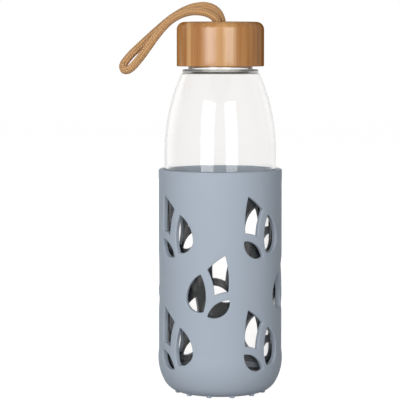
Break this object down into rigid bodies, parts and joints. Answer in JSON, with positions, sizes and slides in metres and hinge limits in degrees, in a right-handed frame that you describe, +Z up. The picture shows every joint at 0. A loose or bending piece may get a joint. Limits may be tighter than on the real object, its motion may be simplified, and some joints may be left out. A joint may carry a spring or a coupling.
{
  "type": "glass water bottle",
  "caption": "Clear glass water bottle in a perforated silicone sleeve, with a bamboo screw cap and a braided carry cord.",
  "frame": {"origin": "centre of the base, on the surface that the feet of the sleeve stand on", "axes": "+Z up along the bottle's axis; the front faces -Y, and the cord hangs towards -X"},
  "size_m": [0.0965, 0.0736, 0.2307],
  "materials": {
    "clear_glass": "polished",
    "grey_silicone": "satin",
    "bamboo": "satin lacquer",
    "white_plastic": "moulded",
    "clear_silicone": "satin",
    "tan_cord": "braided"
  },
  "bodies": {
    "sleeve": {"silicone_sleeve": "grey_silicone"},
    "bottle": {"glass_bottle": "clear_glass"},
    "seal": {"cap_seal": "clear_silicone"},
    "cap": {"bamboo_cap": "bamboo", "cap_liner": "white_plastic", "carry_cord": "tan_cord", "cord_knot": "tan_cord"}
  },
  "joints": [
    {"name": "bottle_pull", "type": "slide", "parent": "sleeve", "child": "bottle", "axis": [0, 0, 1], "range_m": [0, 0.14]},
    {"name": "cap_lift", "type": "slide", "parent": "bottle", "child": "seal", "axis": [0, 0, 1], "range_m": [0, 0.004]},
    {"name": "cap_turn", "type": "hinge", "parent": "seal", "child": "cap", "pos_m": [0, 0, 0.2034], "axis": [0, 0, 1], "range_deg": [0, 360]}
  ],
  "couplings": [
    {"joint": "cap_lift", "follows": "cap_turn", "m_per_rad": 0.00063661}
  ]
}
